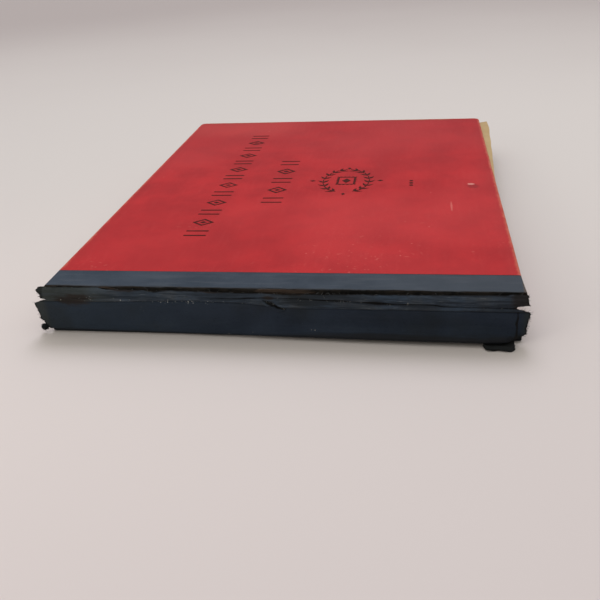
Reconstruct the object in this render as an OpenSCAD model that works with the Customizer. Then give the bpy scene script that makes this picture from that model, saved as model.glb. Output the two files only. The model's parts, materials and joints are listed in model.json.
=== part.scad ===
// Quarter-bound stamp album: two cloth-covered boards, a flat cloth spine and a
// block of guarded leaves, lying on its back cover.
// +X runs along the spine from head to tail, +Y from the spine to the fore-edge,
// +Z up. The origin is under the middle of the whole album, at its lowest face.

/* [Cover] */
// Length of the cover along the spine, head to tail
cover_l = 216; // [160:1:300]
// Width of the cover from its spine edge to its fore-edge
cover_w = 288; // [200:1:320]
// Thickness of the bare millboard
board_t = 2.15; // [1.5:0.05:3]
// Radius of the rounded corners at the fore-edge
corner_r = 4; // [1:0.5:8]
// Thickness of the covering cloth on the outside
cloth_t = 0.3; // [0.2:0.05:0.5]
// Thickness of the cloth turned in over the inside of the board
turn_in_t = 0.2; // [0.1:0.05:0.4]
// Width of the turned-in cloth
turn_in_w = 12; // [8:1:20]
// Thickness of the paper pasted inside the board
pastedown_t = 0.15; // [0.1:0.05:0.3]
// Width of the dark cloth strip beside the spine
strip_w = 16.5; // [10:0.5:25]

/* [Text block] */
// Height of the leaves with their guards
block_t = 18; // [12:0.5:30]
// Distance of the leaves inside the cover's head and tail edges
square_ends = 3.5; // [2:0.5:6]
// Distance of the leaves inside the cover's fore-edge
square_fore = 4.5; // [2:0.5:8]
// Width of the guards that the leaves are hinged to
guard_w = 11; // [8:1:16]
// Room in the block for a single leaf of card
leaf_t = 0.3; // [0.2:0.05:0.4]
// Air between neighbouring leaves
leaf_air = 0.05; // [0.02:0.01:0.1]
// Gap between the text block and each cover
leaf_gap = 0.1; // [0.05:0.05:0.3]

/* [Loose flyleaf] */
// Angle by which the loose front flyleaf has slipped round
flyleaf_turn = 2.8; // [0:0.1:4]
// How far its corner sticks out past the tail edge of the cover
flyleaf_out = 8; // [4:0.5:9]

/* [Spine] */
// How far the spine stands out past the boards' spine edges
spine_out = 2; // [1:0.5:3]
// Thickness of the card inside the spine
spine_card_t = 1.2; // [0.8:0.1:2]
// Thickness of the gauze and of the paper lining behind the card
lining_t = 0.4; // [0.2:0.1:0.6]
// Longest frayed end of the spine cloth past the cover's head
fray_head = 2.8; // [1:0.2:4]
// Longest frayed end of the spine cloth past the cover's tail
fray_tail = 2; // [1:0.2:4]

/* [Sewing] */
// Radius of the wire of the staples
wire_r = 0.4; // [0.3:0.05:0.5]
// Length of a staple's crown
crown_l = 14; // [10:1:20]
// Distance between neighbouring staples
staple_pitch = 72; // [50:1:80]
// Play of the wire in its holes
hole_play = 0.05; // [0.02:0.01:0.1]

/* [Printing on the cover] */
// Thickness of the printed ornament
print_t = 0.1; // [0.05:0.01:0.2]
// Height of the ornaments in the two rows of the title
ornament_h = 12; // [8:0.5:16]
// Width of the bars in the rows
bar_w = 1.3; // [0.8:0.1:2]
// Distance of the long row of ornaments from the cover's head
long_row_x = 56; // [45:1:65]
// Distance of the short row of ornaments from the cover's head
short_row_x = 88; // [80:1:100]
// Distance of the emblem's middle from the cover's head
emblem_x = 128; // [125:1:140]
// Length of the emblem along the spine
emblem_size = 38; // [30:1:42]
// Distance of the small mark from the cover's head
small_mark_x = 167; // [160:1:190]

/* [Hidden] */
$fn = 32;
eps = 0.01;
layer_drop = 0.2;
leaf_group_count = 11;
// Where each row of ornaments starts and ends, from the cover's spine edge.
long_row_y = [55, 252];
short_row_y = [103, 190];
emblem_y = 145;
small_mark_y = 140;
// How far the loose flyleaf stays inside the cover's fore-edge.
flyleaf_square = 1.5;
cover_t = cloth_t + board_t + turn_in_t + pastedown_t;
front_z = cover_t + 2 * leaf_gap + block_t;
album_t = front_z + cover_t;
album_w = cover_w + spine_out;
// The frayed head and the loose leaf at the tail stick out unequally, so the
// cover is shifted to keep the origin under the middle of the whole album.
shift_x = (fray_head - flyleaf_out) / 2;
spine_y = -album_w / 2;
board_y = spine_y + spine_out;
fore_y = board_y + cover_w;
strip_y = board_y + strip_w;
block_z = cover_t + leaf_gap;
block_top = block_z + block_t;
lining_y = spine_y + cloth_t + spine_card_t;
guard_y = lining_y + 2 * lining_t;
staple_y = guard_y + guard_w / 2;
staple_z = block_top - wire_r;
leaf_y = guard_y + guard_w;
leaf_l = cover_l - 2 * square_ends;
leaf_w = fore_y - square_fore - leaf_y;
flyleaf_fore_y = fore_y - flyleaf_square;
flyleaf_z = block_top - leaf_t;
title_leaf_z = flyleaf_z - leaf_t;
group_pitch = (title_leaf_z - block_z - leaf_t) / leaf_group_count;
board_l = cover_l - 2 * cloth_t;

// Puts a piece that is drawn about the cover's middle where the album stands.
module placed() {
    translate([shift_x, 0, 0]) children();
}

// A plate drawn with its spine edge at y, its fore-edge corners rounded.
module plate(length, y, width, z, height, r) {
    translate([-length / 2, y, z]) cube([length, width - r, height]);
    translate([-length / 2 + r, y, z]) cube([length - 2 * r, width, height]);
    for (side = [-1, 1])
        translate([side * (length / 2 - r), y + width - r, z]) cylinder(h = height, r = r);
}

// The inside of a cover, as far from its edges as the turned-in cloth reaches.
module inside_turn_ins(z, height) {
    translate([-board_l / 2 + turn_in_w, board_y + turn_in_w, z])
        cube([board_l - 2 * turn_in_w, cover_w - 2 * turn_in_w - cloth_t, height]);
}

// The pieces of a cover are drawn with the outer face at z = 0 and the inner
// face at z = cover_t, which is how the back cover lies.
module board_piece() {
    plate(board_l, board_y + cloth_t, cover_w - 2 * cloth_t, cloth_t, board_t, corner_r);
}

// Cloth over a board's outer face, round its edges and in over its inside.
module wrapped_cloth() {
    difference() {
        plate(cover_l, board_y, cover_w, 0, cloth_t + board_t + turn_in_t, corner_r + cloth_t);
        board_piece();
        inside_turn_ins(cloth_t + board_t - eps, turn_in_t + 2 * eps);
    }
}

// The half of space on the fore-edge side of the strip's edge.
module beyond_strip() {
    translate([-cover_l, strip_y, -1]) cube([2 * cover_l, cover_w, cover_t + 2]);
}

module side_cloth() {
    intersection() {
        wrapped_cloth();
        beyond_strip();
    }
}

module strip_cloth() {
    difference() {
        wrapped_cloth();
        beyond_strip();
    }
}

// Paper pasted over the inside of a board and over the turned-in cloth.
module pastedown_piece() {
    margin = 5;
    translate([-board_l / 2 + margin, board_y + margin, cover_t - pastedown_t])
        cube([board_l - 2 * margin, cover_w - 2 * margin, pastedown_t]);
    inside_turn_ins(cover_t - pastedown_t - turn_in_t, turn_in_t + eps);
}

// Turns a cover piece over to lie on top of the leaves.
module as_front() {
    translate([0, 0, front_z + cover_t]) mirror([0, 0, 1]) children();
}

module front_board() {
    color([0.52, 0.42, 0.30]) placed() as_front() board_piece();
}

module front_cover_cloth() {
    color([0.73, 0.17, 0.19]) placed() as_front() side_cloth();
}

// The front strip has torn along the joint, so the board's spine edge is bare.
module front_spine_strip() {
    color([0.27, 0.31, 0.36]) placed() as_front()
        difference() {
            strip_cloth();
            translate([-cover_l, board_y - 1, cloth_t]) cube([2 * cover_l, 1 + cloth_t, cover_t]);
        }
}

module front_pastedown() {
    color([0.84, 0.77, 0.62]) placed() as_front() pastedown_piece();
}

module back_board() {
    color([0.52, 0.42, 0.30]) placed() board_piece();
}

module back_cover_cloth() {
    color([0.73, 0.17, 0.19]) placed() side_cloth();
}

module back_spine_strip() {
    color([0.27, 0.31, 0.36]) placed() strip_cloth();
}

module back_pastedown() {
    color([0.84, 0.77, 0.62]) placed() pastedown_piece();
}

// A flat lozenge that reaches x and y from its middle.
module lozenge(x, y) {
    linear_extrude(print_t) polygon([[-x, 0], [0, y], [x, 0], [0, -y]]);
}

// A row of paired bars and open lozenges, running from the spine to the fore-edge.
module ornament_row(from_head, reach, count) {
    pitch = (reach[1] - reach[0]) / count;
    for (i = [0 : count - 1])
        translate([from_head - cover_l / 2, board_y + reach[0] + (i + 0.5) * pitch, album_t])
            if (i % 2 == 0)
                for (bar = [-1, 1])
                    translate([-ornament_h / 2, bar * pitch * 0.2 - bar_w / 2, 0])
                        cube([ornament_h, bar_w, print_t]);
            else {
                difference() {
                    lozenge(ornament_h / 2, pitch * 0.32);
                    translate([0, 0, -eps]) scale([1, 1, 2]) lozenge(ornament_h * 0.35, pitch * 0.224);
                }
                lozenge(ornament_h * 0.15, pitch * 0.09);
            }
}

module title_row_long() {
    color([0.13, 0.06, 0.06]) placed() ornament_row(long_row_x, long_row_y, 13);
}

module title_row_short() {
    color([0.13, 0.06, 0.06]) placed() ornament_row(short_row_x, short_row_y, 5);
}

// A small stamp with a perforated edge, an open frame and a lozenge inside.
module emblem_stamp() {
    size = [12, 15];
    holes = [5, 6];
    hole_r = 0.7;
    border = 1.6;
    difference() {
        translate([-size[0] / 2, -size[1] / 2, 0]) cube([size[0], size[1], print_t]);
        translate([-size[0] / 2 + border, -size[1] / 2 + border, -eps])
            cube([size[0] - 2 * border, size[1] - 2 * border, print_t + 2 * eps]);
        for (axis = [0, 1], side = [-1, 1], i = [0 : holes[axis] - 1]) {
            along = (i + 0.5 - holes[axis] / 2) * size[axis] / holes[axis];
            rotate(axis * 90)
                translate([along, side * size[1 - axis] / 2, -eps])
                    cylinder(h = print_t + 2 * eps, r = hole_r);
        }
    }
    lozenge(2.6, 4);
}

// A leaf of the wreath, its stalk end at the origin.
module wreath_leaf(turn) {
    rotate(turn) linear_extrude(print_t) polygon([[0, 0], [2.4, 0.9], [5.4, 0], [2.4, -0.9]]);
}

// Two sprays of leaves, one each side of the stamp, and a lozenge at each end.
module stamp_emblem() {
    joints = 8;
    reach_x = emblem_size * 0.36;
    reach_y = emblem_size * 0.54;
    color([0.13, 0.06, 0.06]) placed()
        translate([emblem_x - cover_l / 2, board_y + emblem_y, album_t]) {
            emblem_stamp();
            for (side = [-1, 1], i = [0 : joints - 1]) {
                angle = -66 + i * 132 / (joints - 1);
                turn = atan2(reach_y * cos(angle), -side * reach_x * sin(angle));
                translate([side * reach_x * cos(angle), reach_y * sin(angle), 0]) {
                    wreath_leaf(turn + 38);
                    wreath_leaf(turn - 38);
                    rotate(turn) translate([-0.6, -0.35, 0]) cube([6, 0.7, print_t]);
                }
            }
            for (side = [-1, 1]) {
                translate([side * emblem_size * 0.54, 0, 0]) lozenge(1.8, 1.2);
                translate([0, side * emblem_size * 0.62, 0]) lozenge(1.2, 1.8);
            }
        }
}

module small_mark() {
    color([0.13, 0.06, 0.06]) placed()
        translate([small_mark_x - cover_l / 2, board_y + small_mark_y, album_t]) {
            for (side = [-1, 1])
                translate([-1, side * 4 - 1, 0]) cube([2, 2, print_t]);
            cylinder(h = print_t, r = 1.2);
        }
}

// A strip of the spine's layers, standing from the back board to the front one.
module spine_layer(y, thickness, length, bottom, top) {
    translate([-length / 2, y, bottom]) cube([length, thickness, top - bottom]);
}

module spine_cloth() {
    color([0.12, 0.16, 0.20]) placed()
        spine_layer(spine_y, cloth_t, cover_l, block_z, block_top);
}

module spine_card() {
    color([0.45, 0.34, 0.24]) placed()
        spine_layer(spine_y + cloth_t, spine_card_t, leaf_l, block_z, block_top - layer_drop);
}

module spine_gauze() {
    color([0.78, 0.73, 0.62]) placed()
        spine_layer(lining_y, lining_t, cover_l - 24, block_z, block_top - layer_drop);
}

module spine_lining() {
    color([0.62, 0.48, 0.33]) placed()
        spine_layer(lining_y + lining_t, lining_t, leaf_l, block_z, block_top - layer_drop);
}

// Torn cloth at an end of the spine: tabs drawn outwards from the cover's end,
// each with its lower edge, its upper edge and its reach.
module fray(side, reach, tabs) {
    for (tab = tabs)
        translate([side * cover_l / 2, spine_y, 0])
            mirror([side < 0 ? 1 : 0, 0, 0])
                rotate([90, 0, 0])
                    translate([0, 0, -cloth_t])
                        linear_extrude(cloth_t)
                            polygon([
                                [0, tab[0]],
                                [reach * tab[2], 0.9 * tab[0] + 0.1 * tab[1]],
                                [0.8 * reach * tab[2], 0.2 * tab[0] + 0.8 * tab[1]],
                                [0, tab[1]]
                            ]);
}

module head_fray() {
    color([0.09, 0.11, 0.14]) placed()
        fray(-1, fray_head, [[3.2, 5, 0.5], [5.6, 14.8, 1], [16.8, 20.8, 0.8]]);
}

module tail_fray() {
    color([0.09, 0.11, 0.14]) placed()
        fray(1, fray_tail, [[3.2, 14, 1], [17.2, 20.6, 0.8]]);
}

// The stubs that the leaves are hinged to, with the staples' holes through them.
module guards() {
    color([0.74, 0.64, 0.47]) placed()
        difference() {
            translate([-leaf_l / 2, guard_y, block_z])
                cube([leaf_l, guard_w, staple_z - wire_r - block_z]);
            for (x = [-staple_pitch, 0, staple_pitch])
                staple_legs(x, wire_r + hole_play);
        }
}

// A staple's two legs, or the holes for them, upright through the guards.
module staple_legs(x, r) {
    for (side = [-1, 1])
        translate([x + side * (crown_l / 2 - wire_r), staple_y, block_z])
            cylinder(h = staple_z - block_z, r = r);
}

module staple(x) {
    color([0.55, 0.53, 0.50]) placed() {
        staple_legs(x, wire_r);
        translate([x - crown_l / 2 + wire_r, staple_y, staple_z])
            rotate([0, 90, 0]) cylinder(h = crown_l - 2 * wire_r, r = wire_r);
        for (side = [-1, 1])
            translate([x + side * (crown_l / 2 - wire_r), staple_y, staple_z]) sphere(r = wire_r);
    }
}

module staple_head() {
    staple(-staple_pitch);
}

module staple_middle() {
    staple(0);
}

module staple_tail() {
    staple(staple_pitch);
}

// One leaf or one gathering of leaves, counted from the lowest z up.
module leaf_plate(z, thickness) {
    placed() translate([-leaf_l / 2, leaf_y, z]) cube([leaf_l, leaf_w, thickness]);
}

// The front flyleaf has come loose from its guard and slipped round, and what
// of it would pass the cover's fore-edge has been trimmed away.
module front_flyleaf() {
    color([0.75, 0.63, 0.43]) placed()
        intersection() {
            translate([cover_l / 2 + flyleaf_out, flyleaf_fore_y, flyleaf_z])
                rotate([0, 0, -flyleaf_turn])
                    translate([-leaf_l, flyleaf_fore_y - leaf_w - fore_y, 0])
                        cube([leaf_l, leaf_w + fore_y - flyleaf_fore_y + leaf_l, leaf_t - leaf_air]);
            translate([-cover_l, leaf_y, 0]) cube([2 * cover_l, flyleaf_fore_y - leaf_y, album_t]);
        }
}

module title_leaf() {
    color([0.80, 0.70, 0.52]) leaf_plate(title_leaf_z, leaf_t - leaf_air);
}

// Gathering number i, counted from the top.
module leaves(i) {
    color([0.82, 0.73, 0.55]) leaf_plate(title_leaf_z - i * group_pitch, group_pitch - leaf_air);
}

module back_flyleaf() {
    color([0.75, 0.63, 0.43]) leaf_plate(block_z, leaf_t - leaf_air);
}

front_board();
front_cover_cloth();
front_spine_strip();
front_pastedown();
title_row_long();
title_row_short();
stamp_emblem();
small_mark();
back_board();
back_cover_cloth();
back_spine_strip();
back_pastedown();
spine_cloth();
spine_card();
spine_gauze();
spine_lining();
head_fray();
tail_fray();
guards();
staple_head();
staple_middle();
staple_tail();
front_flyleaf();
title_leaf();
leaves(1);  // leaves_01
leaves(2);  // leaves_02
leaves(3);  // leaves_03
leaves(4);  // leaves_04
leaves(5);  // leaves_05
leaves(6);  // leaves_06
leaves(7);  // leaves_07
leaves(8);  // leaves_08
leaves(9);  // leaves_09
leaves(10);  // leaves_10
leaves(11);  // leaves_11
back_flyleaf();
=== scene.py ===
"""Looks of an old quarter-bound stamp album lying on its back cover.

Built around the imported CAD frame. Lengths are in metres, in the CAD's frame: +X runs
along the spine from head to tail, +Y from the spine to the fore-edge, +Z up.
"""
import math

import bmesh
import bpy
import numpy as np
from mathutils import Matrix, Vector
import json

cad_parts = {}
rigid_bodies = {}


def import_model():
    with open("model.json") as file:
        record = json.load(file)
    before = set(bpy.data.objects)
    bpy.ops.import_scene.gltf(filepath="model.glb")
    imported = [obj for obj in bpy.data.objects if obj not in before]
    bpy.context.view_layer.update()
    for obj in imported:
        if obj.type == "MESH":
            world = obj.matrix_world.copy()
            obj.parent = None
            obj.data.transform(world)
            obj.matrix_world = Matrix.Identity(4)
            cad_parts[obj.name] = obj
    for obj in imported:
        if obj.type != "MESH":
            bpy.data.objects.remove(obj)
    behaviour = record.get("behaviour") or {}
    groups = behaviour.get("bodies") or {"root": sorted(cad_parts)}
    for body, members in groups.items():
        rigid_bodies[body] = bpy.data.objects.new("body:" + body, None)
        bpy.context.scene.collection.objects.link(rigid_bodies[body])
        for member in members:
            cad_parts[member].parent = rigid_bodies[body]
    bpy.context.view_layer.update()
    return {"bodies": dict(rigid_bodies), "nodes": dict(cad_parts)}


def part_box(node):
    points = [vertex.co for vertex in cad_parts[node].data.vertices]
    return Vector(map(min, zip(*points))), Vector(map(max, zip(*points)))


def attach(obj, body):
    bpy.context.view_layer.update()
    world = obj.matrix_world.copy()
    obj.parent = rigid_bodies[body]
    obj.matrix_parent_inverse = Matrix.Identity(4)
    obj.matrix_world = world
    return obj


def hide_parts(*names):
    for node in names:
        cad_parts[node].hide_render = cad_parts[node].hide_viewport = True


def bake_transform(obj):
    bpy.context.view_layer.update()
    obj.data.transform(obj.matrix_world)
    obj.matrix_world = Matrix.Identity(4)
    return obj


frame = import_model()

MM = 0.001

# ---------------------------------------------------------------- places, from the frame
_, cover_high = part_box("front_board")
_, cloth_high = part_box("front_cover_cloth")
strip_low, strip_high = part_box("front_spine_strip")
paste_low, paste_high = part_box("front_pastedown")
_, back_paste_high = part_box("back_pastedown")
spine_low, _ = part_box("spine_cloth")
guards_low, guards_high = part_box("guards")
_, group_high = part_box("leaves_01")
title_low, title_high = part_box("title_leaf")
flyleaf_low, flyleaf_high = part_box("front_flyleaf")

HEAD_X = strip_low.x  # the cover's head and tail edges
TAIL_X = strip_high.x
BOARD_Y = strip_low.y  # the boards' spine edge
STRIP_Y = strip_high.y  # where the dark strip meets the red cloth
FORE_Y = cloth_high.y
SPINE_Y = spine_low.y  # the spine's outer face
TOP_Z = strip_high.z  # the front cover's outer face
INNER_Z = paste_low.z  # the front cover's inner face
BACK_INNER_Z = back_paste_high.z
CLOTH_T = TOP_Z - cover_high.z
CORNER_R = 4.3 * MM
TURN_IN = 12 * MM


# ---------------------------------------------------------------- noise and mesh helpers
class Noise:
    """Smooth seeded noise of one or two coordinates, about -1 to 1."""

    def __init__(self, seed):
        self.table = np.random.default_rng(seed).uniform(-1, 1, (64, 64))

    def one(self, x, y=0.0):
        x, y = np.broadcast_arrays(np.asarray(x, float), np.asarray(y, float))
        xi, yi = np.floor(x).astype(int), np.floor(y).astype(int)
        fx, fy = x - xi, y - yi
        fx, fy = fx * fx * (3 - 2 * fx), fy * fy * (3 - 2 * fy)
        t = self.table
        low = t[xi % 64, yi % 64] * (1 - fx) + t[(xi + 1) % 64, yi % 64] * fx
        high = t[xi % 64, (yi + 1) % 64] * (1 - fx) + t[(xi + 1) % 64, (yi + 1) % 64] * fx
        return low * (1 - fy) + high * fy

    def __call__(self, x, y=0.0, octaves=3):
        total, weight, reach = 0.0, 1.0, 0.0
        for i in range(octaves):
            scale = 2.03**i
            shifted_x = np.asarray(x) * scale + 7.3 * i
            shifted_y = np.asarray(y) * scale + 3.1 * i
            total = total + weight * self.one(shifted_x, shifted_y)
            reach += weight
            weight *= 0.55
        return total / reach


def smoothstep(low, high, x):
    """0 at low, 1 at high and smooth between; high may be the smaller."""
    t = np.clip((np.asarray(x, float) - low) / (high - low), 0, 1)
    return t * t * (3 - 2 * t)


def bell(distance, reach):
    """1 at no distance, falling to about a third at `reach` either way."""
    return np.exp(-((distance / reach) ** 2))


def make_object(name, verts, faces, material, sharp=0.7, tones=None, merge=False, marks=None):
    """A mesh piece with edges sharper than `sharp` radians marked, and its rest place stored."""
    mesh = bpy.data.meshes.new(name)
    places = [tuple(v) for v in np.asarray(verts, float)]
    mesh.from_pydata(places, [], [tuple(int(i) for i in f) for f in faces])
    work = bmesh.new()
    work.from_mesh(mesh)
    if merge:
        bmesh.ops.remove_doubles(work, verts=work.verts, dist=1e-6)
    bmesh.ops.recalc_face_normals(work, faces=work.faces)
    for face in work.faces:
        face.smooth = True
    for edge in work.edges:
        edge.smooth = not (edge.is_manifold and edge.calc_face_angle(0.0) > sharp)
    work.to_mesh(mesh)
    work.free()
    rest = mesh.attributes.new("rest", "FLOAT_VECTOR", "POINT")
    co = np.zeros(len(mesh.vertices) * 3, np.float32)
    mesh.vertices.foreach_get("co", co)
    rest.data.foreach_set("vector", co)
    tone = mesh.attributes.new("tone", "FLOAT", "POINT")
    if tones is not None:
        tone.data.foreach_set("value", np.asarray(tones, np.float32))
    for mark, values in (marks or {}).items():
        layer = mesh.attributes.new(mark, "FLOAT", "POINT")
        layer.data.foreach_set("value", np.broadcast_to(values, len(mesh.vertices)).astype(np.float32))
    mesh.materials.append(material)
    piece = bpy.data.objects.new(name, mesh)
    bpy.context.collection.objects.link(piece)
    return piece


def grid_normals(points):
    """Unit normals of a grid of points."""
    along = np.gradient(points, axis=0)
    across = np.gradient(points, axis=1)
    normal = np.cross(along, across)
    length = np.linalg.norm(normal, axis=2, keepdims=True)
    return normal / np.maximum(length, 1e-12)


def grid_faces(index):
    """Four-sided faces between neighbouring places of a grid of vertex numbers."""
    corners = (index[:-1, :-1], index[1:, :-1], index[1:, 1:], index[:-1, 1:])
    return np.stack([corner.ravel() for corner in corners], 1)


def shell(points, thickness, offset=0.0):
    """Vertices and faces of a closed thin sheet on a grid of points, thickened along its normals."""
    nu, nv, _ = points.shape
    normal = grid_normals(points)
    thick = np.broadcast_to(np.asarray(thickness, float), (nu, nv))[..., None]
    low = points + normal * (offset * thick)
    high = low + normal * thick
    verts = np.concatenate([low.reshape(-1, 3), high.reshape(-1, 3)])
    n = nu * nv
    index = np.arange(n).reshape(nu, nv)
    top = grid_faces(index)
    faces = np.concatenate([top[:, [0, 3, 2, 1]], top + n])
    ring = np.concatenate([index[:, 0], index[-1, 1:], index[-2::-1, -1], index[0, -2:0:-1]])
    after = np.roll(ring, -1)
    walls = np.stack([ring, after, after + n, ring + n], 1)
    return verts, np.concatenate([faces, walls])


def join_parts(parts):
    """One vertex and face list out of several, with a tone for each part's vertices."""
    verts, faces, tones, count = [], [], [], 0
    for part_verts, part_faces, tone in parts:
        verts.append(part_verts)
        faces += [[i + count for i in face] for face in part_faces]
        tones.append(np.full(len(part_verts), tone))
        count += len(part_verts)
    return np.concatenate(verts), faces, np.concatenate(tones)


# ---------------------------------------------------------------- material helpers
class Shader:
    """A principled material and short calls that add nodes to it."""

    def __init__(self, name, on_cad=False, roughness=0.9):
        self.material = bpy.data.materials.new(name)
        self.material.use_nodes = True
        self.tree = self.material.node_tree
        self.surface = self.tree.nodes["Principled BSDF"]
        self.surface.inputs["Roughness"].default_value = roughness
        self.surface.inputs["Specular IOR Level"].default_value = 0.25
        if on_cad:
            self.place = self.add("ShaderNodeTexCoord").outputs["Object"]
        else:
            self.place = self.add("ShaderNodeAttribute", attribute_name="rest").outputs["Vector"]
        split = self.add("ShaderNodeSeparateXYZ", Vector=self.place)
        self.x, self.y, self.z = split.outputs

    def add(self, kind, **values):
        node = self.tree.nodes.new(kind)
        for key, value in values.items():
            if hasattr(node, key) and key not in node.inputs:
                setattr(node, key, value)
            else:
                self.put(node.inputs[key], value)
        return node

    def put(self, socket, value):
        if isinstance(value, bpy.types.NodeSocket):
            self.tree.links.new(value, socket)
        else:
            socket.default_value = value

    def math(self, operation, a, b=0.0, c=None, clamp=False):
        node = self.add("ShaderNodeMath", operation=operation, use_clamp=clamp)
        self.put(node.inputs[0], a)
        self.put(node.inputs[1], b)
        if c is not None:
            self.put(node.inputs[2], c)
        return node.outputs[0]

    def times(self, a, b):
        return self.math("MULTIPLY", a, b)

    def plus(self, a, b, clamp=False):
        return self.math("ADD", a, b, clamp=clamp)

    def minus(self, a, b):
        return self.math("SUBTRACT", a, b)

    def least(self, a, b):
        return self.math("MINIMUM", a, b)

    def most(self, a, b):
        return self.math("MAXIMUM", a, b)

    def uneven(self, value, noise, reach):
        """A value moved to and fro by noise, by up to half of reach."""
        return self.plus(value, self.times(self.minus(noise, 0.5), reach))

    def noise(self, scale, detail=3.0, rough=0.55, stretch=None, distortion=0.0):
        vector = self.place
        if stretch:
            vector = self.add("ShaderNodeVectorMath", operation="MULTIPLY")
            self.put(vector.inputs[0], self.place)
            vector.inputs[1].default_value = stretch
            vector = vector.outputs[0]
        node = self.add("ShaderNodeTexNoise", Vector=vector, Scale=scale, Detail=detail, Roughness=rough,
                        Distortion=distortion)
        return node.outputs["Fac"]

    def band(self, value, low, high):
        """0 below low, 1 above high, smooth between; high may be the smaller."""
        node = self.add("ShaderNodeMapRange", interpolation_type="SMOOTHSTEP", clamp=True)
        self.put(node.inputs["Value"], value)
        node.inputs["From Min"].default_value = min(low, high)
        node.inputs["From Max"].default_value = max(low, high)
        node.inputs["To Min"].default_value = 0.0 if low < high else 1.0
        node.inputs["To Max"].default_value = 1.0 if low < high else 0.0
        return node.outputs["Result"]

    def mix(self, factor, a, b, blend="MIX"):
        node = self.add("ShaderNodeMix", data_type="RGBA", blend_type=blend)
        self.put(node.inputs["Factor"], factor)
        for socket, value in ((node.inputs[6], a), (node.inputs[7], b)):
            self.put(socket, value if isinstance(value, bpy.types.NodeSocket) else (*value, 1.0))
        return node.outputs[2]

    def coat(self, color, where, strength, coat_color):
        """A colour partly covered by another one where a mask is 1."""
        return self.mix(self.times(where, strength), color, coat_color)

    def spots(self, scale, size, seed_shift=0.0):
        """Small round specks, 1 inside."""
        vector = self.add("ShaderNodeVectorMath", operation="ADD")
        self.put(vector.inputs[0], self.place)
        vector.inputs[1].default_value = (seed_shift, seed_shift * 0.7, 0.0)
        node = self.add("ShaderNodeTexVoronoi", Vector=vector.outputs[0], Scale=scale)
        return self.band(node.outputs["Distance"], size, size * 0.5)

    def weave(self, pitch):
        """Over and under threads of a plain weave in the X-Y and X-Z planes."""
        turn = 2 * math.pi / pitch
        warp = self.math("SINE", self.times(self.x, turn))
        across = self.plus(self.y, self.z)
        weft = self.math("SINE", self.times(across, turn))
        return self.times(warp, weft)

    def total(self, *values):
        result = values[0]
        for value in values[1:]:
            result = self.plus(result, value)
        return result

    def finish(self, color, height=None, distance=0.0001, roughness=None, strength=1.0):
        self.put(self.surface.inputs["Base Color"], color)
        if roughness is not None:
            self.put(self.surface.inputs["Roughness"], roughness)
        if height is not None:
            bump = self.add("ShaderNodeBump", Height=height)
            bump.inputs["Distance"].default_value = distance
            bump.inputs["Strength"].default_value = strength
            self.put(self.surface.inputs["Normal"], bump.outputs[0])
        return self.material

    def blob(self, x, y, reach_x, reach_y):
        """A soft ragged spot about a place on the cover, 1 in its middle."""
        along = self.math("DIVIDE", self.minus(self.x, x), reach_x)
        across = self.math("DIVIDE", self.minus(self.y, y), reach_y)
        squared = self.plus(self.times(along, along), self.times(across, across))
        return self.band(self.plus(squared, self.times(self.noise(700, 3.0, 0.7), 1.2)), 1.6, 0.8)

    def edge_distance(self, low_x, high_x, low_y, high_y):
        """Distance inwards from the nearest of the four edges of a rectangle."""
        from_x = self.least(self.minus(self.x, low_x), self.minus(high_x, self.x))
        from_y = self.least(self.minus(self.y, low_y), self.minus(high_y, self.y))
        return self.least(from_x, from_y)


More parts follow.
